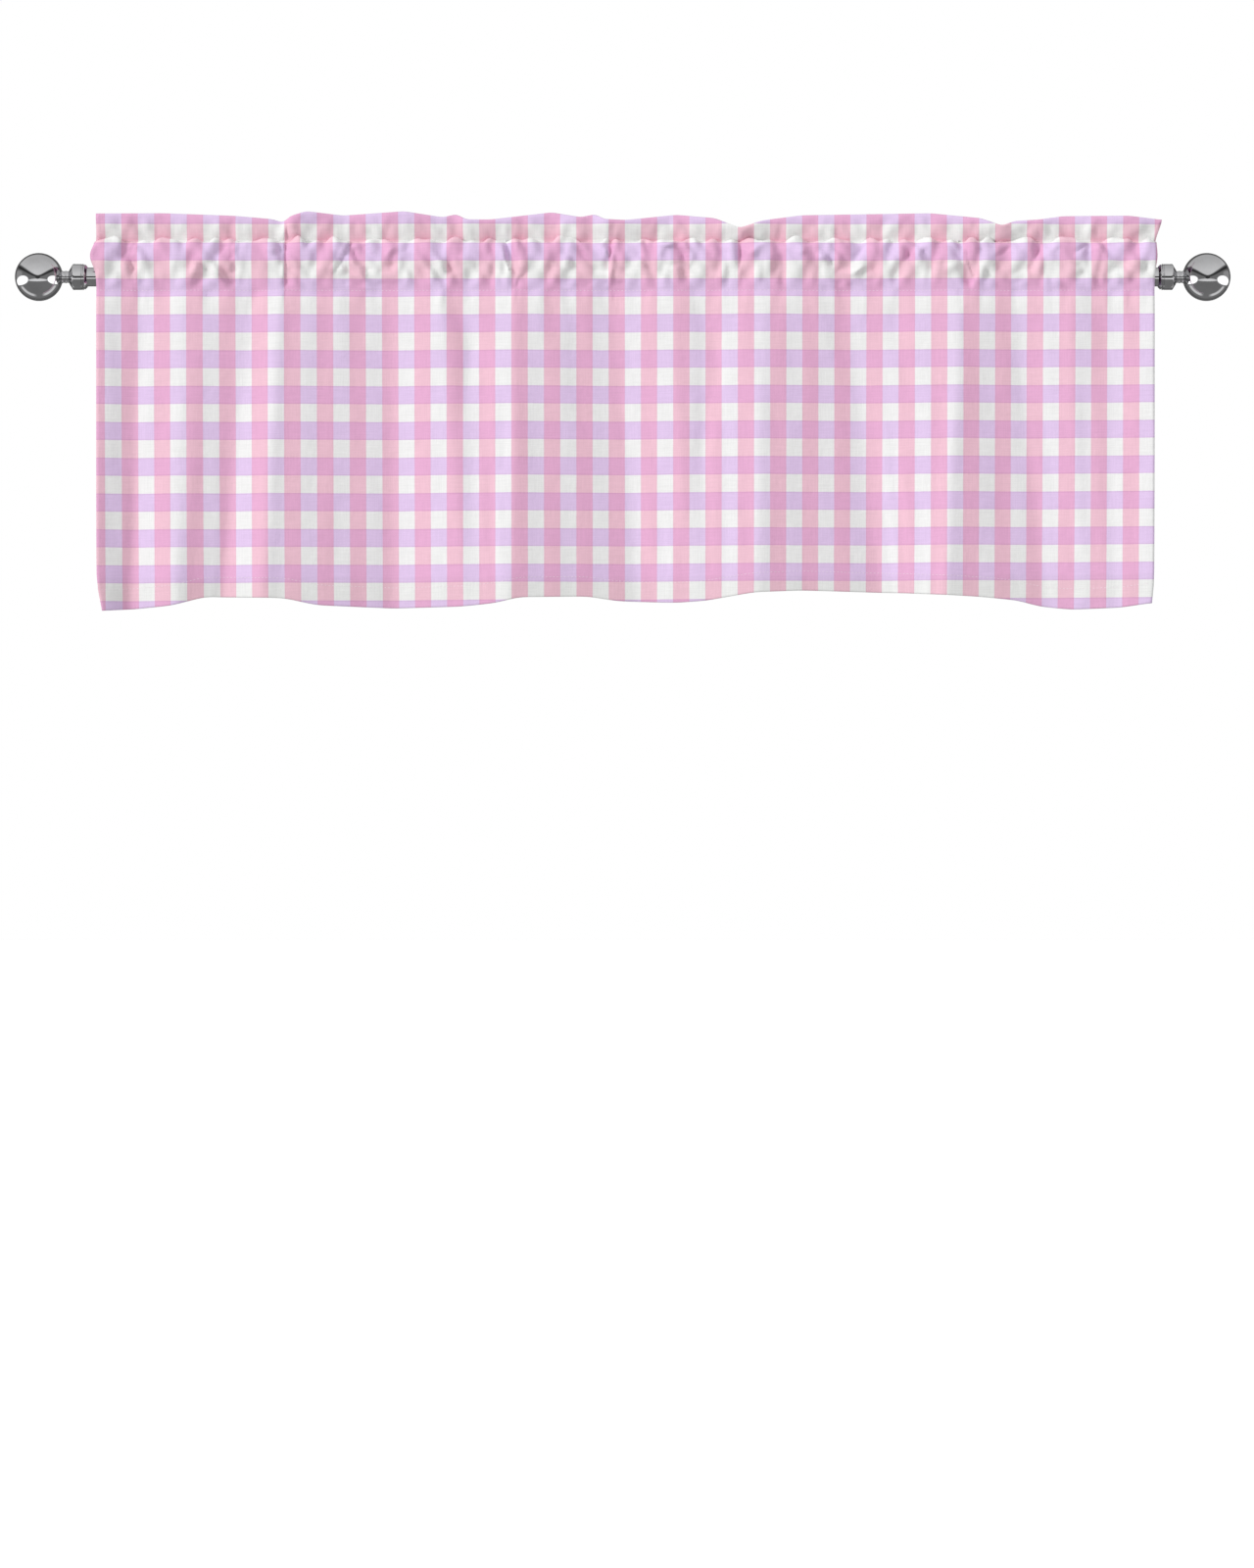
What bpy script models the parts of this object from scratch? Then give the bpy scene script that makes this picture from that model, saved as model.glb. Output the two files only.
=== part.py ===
"""A short window valance, gathered on its own curtain rod.

The cloth is one panel. Its top edge is turned to the back and sewn down along two
lines, which leaves a heading that stands up like a ruffle and a pocket that the rod
runs through. Below the pocket the panel hangs in soft upright folds to its hem. The
rod is a plain bar with a turned collar and a ball finial at each end.

Metres, +Z up, +X along the rod, the front of the cloth faces -Y. The origin is on
the rod's axis at the middle of its length.
"""

import math
from collections import namedtuple

import bmesh
import bpy
from mathutils import Vector

# The rod and its end pieces
ROD_RADIUS = 0.0110
ROD_SIDES = 32
FIT_GAP = 0.0003
BALL_CENTRE = 0.6810
BALL_RADIUS = 0.0280
NECK_RADIUS = 0.0071
NECK_START = 0.6458
COLLAR_START = 0.6245
COLLAR_RADIUS = 0.0151
COLLAR_NOSE_RADIUS = 0.0086
COLLAR_NOSE = 0.0042
COLLAR_CHAMFER = 0.0030
COLLAR_WALL = 0.0070
STUD_RADIUS = 0.0037
STUD_LENGTH = 0.0058
TURNED_STEPS = 28

# The cloth
SHEET = 0.0012
CLOTH_LEFT = -0.6127
CLOTH_WIDTH = 1.2318
HEADING_SEAM = 0.0415
POCKET_SEAM = -0.0240
FLAP_END = -0.0290
HEM_DEPTH = 0.0250
HEM_EXTRA = 0.0009

# The pocket's inside: wide open where it puffs, close to the rod where it is pinched
PUFF_TOP = 0.0385
PINCH_TOP = 0.0119
POCKET_FLOOR = -0.0222
PUFF_FRONT = 0.0180
PUFF_BACK = 0.0148
PINCH_REACH = 0.0142
LEVEL_NEAR_ROD = 0.0080
RING_STEPS = 6

# Columns of the cloth's mesh
CLOSEST_COLUMNS = 0.0075
WIDEST_COLUMNS = 0.0230
PANEL_ROWS = (0.10, 0.24, 0.40, 0.56, 0.72, 0.86)
CUTTER_CLEAR = 0.0015
CUTTER_OVERRUN = 0.0300

Heading = namedtuple("Heading", "place height lean")
Crease = namedtuple("Crease", "top low closeness reach")
Fold = namedtuple("Fold", "top hem forward_top forward_hem")
Hem = namedtuple("Hem", "place height")
EdgeBulge = namedtuple("EdgeBulge", "height reach left right")

# The heading's top edge, by place along the cloth from its left edge: how high it
# stands over the rod's axis, and how far it leans forward there
HEADINGS = (
    Heading(0.000, 0.0720, 0.004),
    Heading(0.076, 0.0730, -0.003),
    Heading(0.161, 0.0696, 0.002),
    Heading(0.213, 0.0645, 0.010),
    Heading(0.221, 0.0616, 0.011),
    Heading(0.229, 0.0690, -0.004),
    Heading(0.244, 0.0747, -0.006),
    Heading(0.287, 0.0702, 0.002),
    Heading(0.358, 0.0747, -0.006),
    Heading(0.403, 0.0679, 0.005),
    Heading(0.419, 0.0719, -0.002),
    Heading(0.430, 0.0650, 0.006),
    Heading(0.458, 0.0650, 0.004),
    Heading(0.530, 0.0742, -0.006),
    Heading(0.564, 0.0679, 0.004),
    Heading(0.581, 0.0719, -0.002),
    Heading(0.590, 0.0656, 0.006),
    Heading(0.616, 0.0645, 0.004),
    Heading(0.675, 0.0713, -0.005),
    Heading(0.749, 0.0548, 0.010),
    Heading(0.822, 0.0707, -0.004),
    Heading(0.972, 0.0730, -0.005),
    Heading(1.054, 0.0576, 0.009),
    Heading(1.070, 0.0636, 0.002),
    Heading(1.097, 0.0650, 0.003),
    Heading(1.126, 0.0696, -0.004),
    Heading(1.200, 0.0696, 0.002),
    Heading(1.2318, 0.0656, -0.007),
)

# Where the pocket is drawn in against the rod between its puffs: the crease's place
# at the heading seam and at the pocket seam, how close it comes, and its half width
CREASES = (
    Crease(0.037, 0.034, 0.50, 0.012),
    Crease(0.158, 0.152, 0.45, 0.010),
    Crease(0.220, 0.219, 1.00, 0.010),
    Crease(0.296, 0.273, 0.55, 0.012),
    Crease(0.352, 0.352, 0.40, 0.011),
    Crease(0.403, 0.405, 0.45, 0.012),
    Crease(0.473, 0.489, 1.00, 0.012),
    Crease(0.596, 0.592, 1.00, 0.011),
    Crease(0.675, 0.675, 0.50, 0.016),
    Crease(0.751, 0.757, 1.00, 0.010),
    Crease(0.797, 0.803, 0.40, 0.011),
    Crease(0.883, 0.863, 0.50, 0.012),
    Crease(1.010, 1.015, 1.00, 0.010),
    Crease(1.072, 1.054, 0.45, 0.013),
    Crease(1.166, 1.194, 0.50, 0.012),
)

# The panel's upright folds: each line's place at the pocket seam and at the hem,
# and how far the cloth stands forward there. Sharp ridges have a second, lower line
# just right of them, where the cloth steps back
FOLDS = (
    Fold(0.000, 0.000, 0.006, 0.014),
    Fold(0.051, 0.038, -0.006, -0.014),
    Fold(0.104, 0.091, 0.006, 0.010),
    Fold(0.182, 0.146, -0.006, -0.014),
    Fold(0.216, 0.193, 0.010, 0.019),
    Fold(0.227, 0.207, 0.002, 0.010),
    Fold(0.342, 0.346, -0.010, -0.021),
    Fold(0.399, 0.428, 0.006, 0.003),
    Fold(0.435, 0.449, -0.003, 0.006),
    Fold(0.489, 0.482, 0.010, 0.019),
    Fold(0.499, 0.494, 0.002, 0.010),
    Fold(0.600, 0.630, -0.010, -0.021),
    Fold(0.673, 0.686, 0.005, -0.004),
    Fold(0.705, 0.711, -0.004, 0.002),
    Fold(0.778, 0.767, 0.010, 0.017),
    Fold(0.876, 0.916, -0.010, -0.020),
    Fold(1.007, 0.990, 0.010, 0.019),
    Fold(1.017, 1.002, 0.001, 0.010),
    Fold(1.071, 1.105, -0.009, -0.019),
    Fold(1.135, 1.148, 0.005, -0.006),
    Fold(1.178, 1.188, -0.003, 0.001),
    Fold(1.2318, 1.2318, 0.007, 0.012),
)

# The hem's edge: it hangs lower in some folds than in others
HEMS = (
    Hem(0.000, -0.3886),
    Hem(0.042, -0.3863),
    Hem(0.087, -0.3823),
    Hem(0.125, -0.3720),
    Hem(0.218, -0.3737),
    Hem(0.255, -0.3817),
    Hem(0.344, -0.3851),
    Hem(0.424, -0.3834),
    Hem(0.464, -0.3794),
    Hem(0.492, -0.3726),
    Hem(0.572, -0.3714),
    Hem(0.606, -0.3766),
    Hem(0.675, -0.3788),
    Hem(0.709, -0.3766),
    Hem(0.766, -0.3669),
    Hem(0.823, -0.3646),
    Hem(0.937, -0.3674),
    Hem(1.029, -0.3720),
    Hem(1.074, -0.3760),
    Hem(1.099, -0.3828),
    Hem(1.137, -0.3868),
    Hem(1.194, -0.3846),
    Hem(1.2318, -0.3794),
)

# How far the two side edges stand out of line at some heights
EDGE_BULGES = (
    EdgeBulge(0.070, 0.022, 0.001, 0.010),
    EdgeBulge(0.023, 0.015, 0.007, 0.003),
    EdgeBulge(-0.390, 0.022, -0.006, -0.003),
)
EDGE_BLEND = 0.045

CLOTH_COLOUR = (0.90, 0.66, 0.78, 1.0)
METAL_COLOUR = (0.55, 0.56, 0.57, 1.0)


def mix(start, end, share):
    return start + (end - start) * share


def eased(share):
    return share * share * (3 - 2 * share)


def softly(share):
    """Half straight, half eased: a line that is rounded but keeps its facets."""
    return (share + eased(share)) / 2


def along(rows, place):
    """The value at a place between rows of (place, value), rounded at each row."""
    if place <= rows[0][0]:
        return rows[0][1]
    for (before, low), (after, high) in zip(rows, rows[1:]):
        if place <= after:
            return mix(low, high, softly((place - before) / (after - before)))
    return rows[-1][1]


def heading_height(place):
    return along([(row.place, row.height) for row in HEADINGS], place)


def heading_lean(place):
    return along([(row.place, row.lean) for row in HEADINGS], place)


def hem_height(place):
    return along([(row.place, row.height) for row in HEMS], place)


def fold_forward(place, fall):
    """How far the panel stands forward, fall going from 0 at the pocket to 1 at the hem."""
    at_top = along([(fold.top, fold.forward_top) for fold in FOLDS], place)
    at_hem = along([(fold.top, fold.forward_hem) for fold in FOLDS], place)
    return mix(at_top, at_hem, fall)


def fold_drift(place, fall):
    """How far a line that starts at this place has gone to the right at this fall."""
    return fall * along([(fold.top, fold.hem - fold.top) for fold in FOLDS], place)


def pinch(place, height):
    """0 in a puff, 1 where the pocket is drawn in against the rod."""
    share = (HEADING_SEAM - height) / (HEADING_SEAM - POCKET_SEAM)
    found = 0.0
    for crease in CREASES:
        away = (place - mix(crease.top, crease.low, share)) / crease.reach
        found = max(found, crease.closeness * math.exp(-away * away))
    return found


def edge_shift(place, height):
    """How far a point moves along X because its side edge isn't straight."""
    shift = 0.0
    for bulge in EDGE_BULGES:
        strength = math.exp(-(((height - bulge.height) / bulge.reach) ** 2))
        shift -= bulge.left * strength * max(0.0, 1 - place / EDGE_BLEND)
        from_right = CLOTH_WIDTH - place
        shift += bulge.right * strength * max(0.0, 1 - from_right / EDGE_BLEND)
    return shift


def middle_line(place, height):
    """The forward place of the cloth's middle, straight where it passes the rod."""
    if height > LEVEL_NEAR_ROD:
        rise = (height - LEVEL_NEAR_ROD) / (heading_height(place) - LEVEL_NEAR_ROD)
        return heading_lean(place) * rise * rise
    if height < -LEVEL_NEAR_ROD:
        drop = (-LEVEL_NEAR_ROD - height) / (POCKET_SEAM * -1 - LEVEL_NEAR_ROD)
        return fold_forward(place, 0.0) * eased(min(1.0, drop))
    return 0.0


def pocket_ring(place, side, thickness):
    """One side of the pocket from its top to its floor, side 1 in front and -1 behind."""
    points = []
    for step in range(RING_STEPS + 1):
        angle = math.radians(90 - 180 * step / RING_STEPS)
        near = mix(HEADING_SEAM, POCKET_SEAM, step / RING_STEPS)
        drawn_in = pinch(place, near)
        top = mix(PUFF_TOP, PINCH_TOP, pinch(place, HEADING_SEAM / 2) ** 2)
        puffed = PUFF_FRONT if side > 0 else PUFF_BACK
        reach = mix(puffed, PINCH_REACH, drawn_in) + thickness
        centre = (top + POCKET_FLOOR) / 2
        half = (top - POCKET_FLOOR) / 2 + thickness
        height = centre + half * math.sin(angle)
        out = max(thickness, reach * math.cos(angle))
        points.append((middle_line(place, height) + side * out, height))
    return points


def panel_point(place, fall, height, offset):
    """A point of the hanging panel, which drifts sideways with the fold it is on."""
    return (fold_forward(place, fall) + offset, height, fold_drift(place, fall))


def front_of(place):
    """The front of the cloth at one place, as (forward, height) from top to hem."""
    top = heading_height(place)
    hem = hem_height(place + fold_drift(place, 1.0))
    points = []
    for height in (top, mix(top, HEADING_SEAM, 0.35), mix(top, HEADING_SEAM, 0.70), HEADING_SEAM):
        points.append((middle_line(place, height) + SHEET, height))
    ring = pocket_ring(place, 1, SHEET)
    between = (HEADING_SEAM + ring[0][1]) / 2
    points.append((middle_line(place, between) + SHEET, between))
    points += ring
    for fall in PANEL_ROWS + (1.0,):
        points.append(panel_point(place, fall, mix(FLAP_END, hem, fall), SHEET))
    return points


def back_of(place):
    """The back of the cloth at one place, as (forward, height) from hem to top."""
    top = heading_height(place)
    hem = hem_height(place + fold_drift(place, 1.0))
    hem_top = hem + HEM_DEPTH
    turned_up = (FLAP_END - hem_top) / (FLAP_END - hem)
    points = [
        panel_point(place, 1.0, hem, -HEM_EXTRA),
        panel_point(place, turned_up, hem_top, -HEM_EXTRA),
        panel_point(place, turned_up, hem_top + HEM_EXTRA, 0.0),
    ]
    for fall in reversed(PANEL_ROWS):
        points.append(panel_point(place, fall, mix(FLAP_END, hem, fall), 0.0))
    flap = middle_line(place, FLAP_END)
    points.append((flap, FLAP_END - SHEET))
    points.append((flap - SHEET, FLAP_END))
    ring = pocket_ring(place, -1, SHEET)
    points += reversed(ring)
    between = (HEADING_SEAM + ring[0][1]) / 2
    points.append((middle_line(place, between) - SHEET, between))
    for height in (HEADING_SEAM, mix(top, HEADING_SEAM, 0.70), mix(top, HEADING_SEAM, 0.35), top):
        points.append((middle_line(place, height) - SHEET, height))
    return points


def tunnel_of(place):
    """The pocket's inside as a closed ring of (forward, height)."""
    front = pocket_ring(place, 1, 0.0)
    back = pocket_ring(place, -1, 0.0)
    return front + back[-2:0:-1]


def cloth_columns():
    """Places along the cloth for its mesh: at each crease and fold, and evenly between."""
    kept = [0.0, CLOTH_WIDTH]
    wanted = [fold.top for fold in FOLDS]
    wanted += [(crease.top + crease.low) / 2 for crease in CREASES]
    wanted += [row.place for row in HEADINGS]
    for crease in CREASES:
        middle = (crease.top + crease.low) / 2
        wanted += [middle - 1.3 * crease.reach, middle + 1.3 * crease.reach]
    for place in wanted:
        if all(abs(place - other) >= CLOSEST_COLUMNS for other in kept):
            kept.append(place)
    kept.sort()
    columns = [kept[0]]
    for before, after in zip(kept, kept[1:]):
        parts = math.ceil((after - before) / WIDEST_COLUMNS)
        columns += [mix(before, after, part / parts) for part in range(1, parts + 1)]
    return columns


def placed(place, forward, height, drift=0.0):
    sideways = CLOTH_LEFT + place + drift + edge_shift(place, height)
    return Vector((sideways, -forward, height))


def material(name, colour, roughness, metallic):
    made = bpy.data.materials.new(name)
    made.use_nodes = True
    shader = made.node_tree.nodes["Principled BSDF"]
    shader.inputs["Base Color"].default_value = colour
    shader.inputs["Roughness"].default_value = roughness
    shader.inputs["Metallic"].default_value = metallic
    made.diffuse_color = colour
    return made


def new_object(name, mesh, finish, collection):
    made = bpy.data.objects.new(name, mesh)
    made.data.materials.append(finish)
    collection.objects.link(made)
    return made


def cap(bm, ring, front_count):
    """Close an end with a strip of triangles that runs from front to back, top to bottom."""
    front = ring[:front_count]
    back = ring[front_count:][::-1]
    here = 0
    there = 0
    while here + 1 < len(front) or there + 1 < len(back):
        front_next = front[here + 1].co.z if here + 1 < len(front) else -math.inf
        back_next = back[there + 1].co.z if there + 1 < len(back) else -math.inf
        if front_next >= back_next:
            bm.faces.new((front[here], front[here + 1], back[there]))
            here += 1
        else:
            bm.faces.new((front[here], back[there + 1], back[there]))
            there += 1


def loft(name, sections, front_count, finish, collection):
    """A closed body through like rings of points, each running down the front first."""
    bm = bmesh.new()
    rings = [[bm.verts.new(point) for point in section] for section in sections]
    for before, after in zip(rings, rings[1:]):
        for index in range(len(before)):
            following = (index + 1) % len(before)
            bm.faces.new((before[index], after[index], after[following], before[following]))
    cap(bm, rings[0], front_count)
    cap(bm, rings[-1], front_count)
    bmesh.ops.triangulate(bm, faces=bm.faces[:])
    bmesh.ops.recalc_face_normals(bm, faces=bm.faces[:])
    mesh = bpy.data.meshes.new(name)
    bm.to_mesh(mesh)
    bm.free()
    return new_object(name, mesh, finish, collection)


def make_cloth(finish, collection, cutters):
    """The sewn panel, with the rod's tunnel cut through its pocket from end to end."""
    columns = cloth_columns()
    outlines = [
        [placed(place, *point) for point in front_of(place) + back_of(place)]
        for place in columns
    ]
    cloth = loft("valance_cloth", outlines, len(front_of(0.0)), finish, collection)

    tunnels = [[placed(place, *point) for point in tunnel_of(place)] for place in columns]
    clear = Vector((CUTTER_CLEAR, 0, 0))
    overrun = Vector((CUTTER_OVERRUN, 0, 0))
    tunnels[0] = [point - clear for point in tunnels[0]]
    tunnels[-1] = [point + clear for point in tunnels[-1]]
    tunnels.insert(0, [point - overrun for point in tunnels[0]])
    tunnels.append([point + overrun for point in tunnels[-1]])
    tunnel = loft("pocket_tunnel_cutter", tunnels, RING_STEPS + 1, finish, cutters)
    tunnel.hide_render = True
    tunnel.display_type = "WIRE"

    cut = cloth.modifiers.new("rod pocket", "BOOLEAN")
    cut.operation = "DIFFERENCE"
    cut.object = tunnel
    for polygon in cloth.data.polygons:
        polygon.use_smooth = True
    return cloth


def turned(name, profile, closed, finish, collection):
    """A turned piece: a profile of (radius, height) spun about its own Z axis."""
    mesh = bpy.data.meshes.new(name)
    points = [(radius, 0.0, height) for radius, height in profile]
    edges = [(index, index + 1) for index in range(len(points) - 1)]
    if closed:
        edges.append((len(points) - 1, 0))
    mesh.from_pydata(points, edges, [])
    made = new_object(name, mesh, finish, collection)
    spin = made.modifiers.new("turn", "SCREW")
    spin.steps = TURNED_STEPS
    spin.render_steps = TURNED_STEPS
    spin.use_merge_vertices = True
    spin.merge_threshold = 0.00001
    spin.use_smooth_shade = True
    return made


def finial_profile():
    """Ball, neck and stud, from the ball's outer pole to the stud's inner end."""
    points = []
    reach = math.asin(NECK_RADIUS / BALL_RADIUS)
    stop = math.pi - reach
    for step in range(TURNED_STEPS // 2 + 1):
        angle = stop * step / (TURNED_STEPS // 2)
        radius = BALL_RADIUS * math.sin(angle)
        points.append((radius, BALL_CENTRE + BALL_RADIUS * math.cos(angle)))
    points.append((NECK_RADIUS, NECK_START))
    points.append((STUD_RADIUS, NECK_START))
    points.append((STUD_RADIUS, NECK_START - STUD_LENGTH))
    points.append((0.0, NECK_START - STUD_LENGTH))
    return points


def collar_profile():
    """Outside from the neck to the cloth, then the bore back up over the rod's end."""
    outer_end = NECK_START - FIT_GAP
    bore = ROD_RADIUS + FIT_GAP
    wall_start = outer_end - COLLAR_WALL
    hole = STUD_RADIUS + FIT_GAP
    lip_end = COLLAR_START + COLLAR_CHAMFER
    groove_end = lip_end + 0.0013
    return [
        (hole, outer_end),
        (COLLAR_NOSE_RADIUS, outer_end),
        (COLLAR_RADIUS, outer_end - COLLAR_NOSE),
        (COLLAR_RADIUS, groove_end),
        (COLLAR_RADIUS - 0.0015, groove_end),
        (COLLAR_RADIUS - 0.0015, lip_end),
        (COLLAR_RADIUS - 0.0005, lip_end),
        (COLLAR_RADIUS - 0.0028, COLLAR_START),
        (bore, COLLAR_START),
        (bore, wall_start),
        (hole, wall_start),
    ]


def make_rod(finish, collection):
    end = NECK_START - FIT_GAP - COLLAR_WALL - FIT_GAP
    bpy.ops.mesh.primitive_cylinder_add(
        vertices=ROD_SIDES, radius=ROD_RADIUS, depth=2 * end, rotation=(0, math.pi / 2, 0)
    )
    rod = bpy.context.active_object
    rod.name = "curtain_rod"
    rod.data.materials.append(finish)
    rod.data.shade_smooth()
    rod.data.set_sharp_from_angle(angle=math.radians(40))
    for holder in rod.users_collection:
        holder.objects.unlink(rod)
    collection.objects.link(rod)
    return rod


def make_end_pieces(finish, collection):
    """A collar and a ball finial at each end, turned about the rod's axis."""
    for side, turn in (("left", -math.pi / 2), ("right", math.pi / 2)):
        collar = turned(f"collar_{side}", collar_profile(), True, finish, collection)
        collar.rotation_euler = (0, turn, 0)
        finial = turned(f"ball_finial_{side}", finial_profile(), False, finish, collection)
        finial.rotation_euler = (0, turn, 0)


def new_collection(name):
    made = bpy.data.collections.new(name)
    bpy.context.scene.collection.children.link(made)
    return made


def main():
    for old in list(bpy.data.objects):
        bpy.data.objects.remove(old, do_unlink=True)
    parts = new_collection("window valance")
    cutters = new_collection("cutters")
    cloth_finish = material("checked cloth", CLOTH_COLOUR, 0.9, 0.0)
    metal_finish = material("polished metal", METAL_COLOUR, 0.2, 1.0)
    make_cloth(cloth_finish, parts, cutters)
    make_rod(metal_finish, parts)
    make_end_pieces(metal_finish, parts)


main()
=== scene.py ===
"""A checked window valance gathered on its curtain rod, dressed for its picture.

The cloth is one sheet in the shape it hangs in: from the hem's turning up the front,
over the heading's folded top edge, and down the back to the flap under the pocket.
Metres, +Z up, +X along the rod, the front of the cloth faces -Y, and the origin is
on the rod's axis at the middle of its length.
"""

import math
from collections import namedtuple

import bmesh
import bpy
import numpy as np
from bpy.props import FloatProperty, FloatVectorProperty, IntProperty, PointerProperty
from bpy.types import Operator, Panel, PropertyGroup
from mathutils import Matrix, Vector


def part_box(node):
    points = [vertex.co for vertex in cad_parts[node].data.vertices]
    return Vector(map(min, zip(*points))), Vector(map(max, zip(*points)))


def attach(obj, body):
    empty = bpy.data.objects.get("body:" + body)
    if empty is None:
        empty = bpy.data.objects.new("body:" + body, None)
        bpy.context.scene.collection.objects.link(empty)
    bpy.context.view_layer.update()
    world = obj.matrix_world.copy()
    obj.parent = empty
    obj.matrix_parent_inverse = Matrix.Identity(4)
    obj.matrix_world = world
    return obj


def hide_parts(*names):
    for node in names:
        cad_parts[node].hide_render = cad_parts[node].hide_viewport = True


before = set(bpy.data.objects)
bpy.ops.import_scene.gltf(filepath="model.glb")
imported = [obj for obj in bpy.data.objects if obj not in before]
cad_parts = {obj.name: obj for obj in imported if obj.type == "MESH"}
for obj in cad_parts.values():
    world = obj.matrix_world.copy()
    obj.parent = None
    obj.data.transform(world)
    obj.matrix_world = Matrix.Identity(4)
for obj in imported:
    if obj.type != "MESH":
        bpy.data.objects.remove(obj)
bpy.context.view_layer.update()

bl_info = {
    "name": "Window valance on a curtain rod",
    "version": (1, 0, 0),
    "blender": (4, 5, 0),
    "location": "View3D > Sidebar > Valance",
    "description": "Builds a checked valance, its stitching, rod, collars, finials and stage",
    "category": "Object",
}

# The cloth's main lines, in metres from the middle of the rod
CLOTH_LEFT = -0.6127
CLOTH_WIDTH = 1.2318
HEADING_SEAM = 0.0405
POCKET_SEAM = -0.0165
FLAP_END = -0.0225
HEM_TURNING = 0.0250

# How the layers lie on each other in the heading, behind the seams and at the hem
HALF_LAYERS = 0.0008
PRESSED = 0.65
SEAM_LAYER = HALF_LAYERS * PRESSED
BACK_LAYER = HALF_LAYERS * 1.3
TURNING_DEPTH = 0.0013
HEM_ROUNDING = 0.0006
FLAP_SLOPE = 0.0004

# The space that the pocket leaves round the rod's axis, in front and behind
ROD_CLEAR = 0.0116
ROD_CLEAR_BEHIND = 0.0130
LEVEL_NEAR_ROD = 0.0080

# How creases, laps and side edges run out, and how finely curves are worked out
CREASE_SHARPNESS = 1.35
STEP_SOFTNESS = 0.0010
TUCK_REACH = 4
EDGE_BLEND = 0.045
FINE_STEP = 0.0005
COLUMN_SAMPLES = 4000
CLOSER_AT_CREASES = 1.3

# The check: where its first band starts, and the size of one repeat
FIRST_BAND = 0.0386
REPEAT_DOWN_LEFT = 0.04166
REPEAT_DOWN_RIGHT = 0.04120
REPEAT_ACROSS = 0.03806
REPEAT_NARROWING = 0.0000125
HEADING_STRETCH = 0.91

Point = namedtuple("Point", "place height")
Heading = namedtuple("Heading", "place height lean")
Crease = namedtuple("Crease", "top low closeness reach")
Fold = namedtuple("Fold", "top hem forward_top forward_hem")
EdgeBulge = namedtuple("EdgeBulge", "height reach left right")
Tuck = namedtuple("Tuck", "ridge step width line")

# The tables below give lengths in tenths of a millimetre
TENTHS = 10000


def in_metres(kind, *rows):
    return [kind(*(value / TENTHS for value in row)) for row in rows]


# The heading's top edge by place along the cloth: its height and how far it leans
HEADINGS = in_metres(
    Heading,
    (0, 720, 40), (760, 730, -30), (1610, 696, 0), (2050, 660, -30), (2170, 620, -60),
    (2250, 685, 80), (2440, 747, 50), (2870, 702, -30), (3580, 747, 30), (4030, 679, 10),
    (4190, 719, -20), (4300, 650, 60), (4580, 650, 30), (5300, 742, -50), (5640, 679, 20),
    (5810, 719, -20), (5900, 656, 60), (6160, 645, 30), (6750, 713, -50), (7200, 668, 20),
    (7490, 548, 90), (7750, 640, 30), (8220, 707, -40), (9720, 730, -40), (10300, 665, 40),
    (10540, 576, 80), (10700, 636, 20), (10970, 650, 30), (11260, 696, -40), (12000, 696, 20),
    (12318, 656, -60),
)

# Where the pocket is drawn in between its puffs
CREASES = [
    Crease(top / TENTHS, low / TENTHS, closeness, reach / TENTHS)
    for top, low, closeness, reach in (
        (440, 460, 0.55, 60), (1600, 1540, 0.45, 60), (2190, 2180, 0.95, 60),
        (2560, 2580, 0.3, 70), (2970, 2730, 0.6, 60), (3310, 3400, 0.45, 60),
        (3690, 3680, 0.3, 70), (4030, 4050, 0.3, 80), (4630, 4600, 0.5, 60),
        (4770, 4890, 0.9, 60), (5580, 5740, 0.45, 60), (6000, 5960, 0.9, 60),
        (6400, 6500, 0.5, 60), (6900, 6840, 0.45, 70), (7330, 7350, 0.35, 70),
        (7500, 7520, 0.7, 60), (7970, 8000, 0.45, 80), (8930, 8680, 0.5, 70),
        (9180, 9340, 0.35, 60), (9550, 9300, 0.35, 70), (10040, 10180, 0.85, 60),
        (10640, 10500, 0.55, 70), (11000, 10840, 0.55, 60), (11560, 11500, 0.35, 70),
        (11700, 12000, 0.5, 70),
    )
]

# The panel's upright folds, at the pocket seam and at the hem
FOLDS = in_metres(
    Fold,
    (0, 0, 50, 110), (510, 380, -50, -80), (1040, 910, 50, 90), (1820, 1460, -30, -60),
    (2160, 1930, 80, 110), (2270, 2070, 40, 80), (3420, 3460, -90, -170), (3990, 4280, 50, 30),
    (4350, 4490, -20, 60), (4890, 4820, 90, 140), (5000, 4940, 60, 110),
    (6000, 6300, -90, -160), (6730, 6860, 50, -20), (7050, 7110, -20, 20),
    (7780, 7670, 90, 140), (8760, 9160, -80, -130), (10070, 9900, 90, 140),
    (10180, 10020, 60, 110), (10710, 11050, -60, -110), (11350, 11480, 50, -40),
    (11780, 11880, -30, 10), (12318, 12318, 60, 100),
)

# The hem's height over the rod's axis
HEMS = in_metres(
    Point,
    (0, -3886), (420, -3863), (870, -3823), (1250, -3720), (2180, -3737), (2550, -3817),
    (3440, -3851), (4240, -3834), (4640, -3794), (4920, -3726), (5720, -3714), (6060, -3766),
    (6750, -3788), (7090, -3766), (7660, -3669), (8230, -3646), (9370, -3674), (10290, -3720),
    (10740, -3760), (10990, -3828), (11370, -3868), (11940, -3846), (12318, -3794),
)

# Where the two side edges swell out: height, reach, and how far on each side
EDGE_BULGES = in_metres(
    EdgeBulge,
    (700, 220, 10, 100), (230, 150, 70, 30), (-3900, 220, -60, -30),
)

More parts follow.
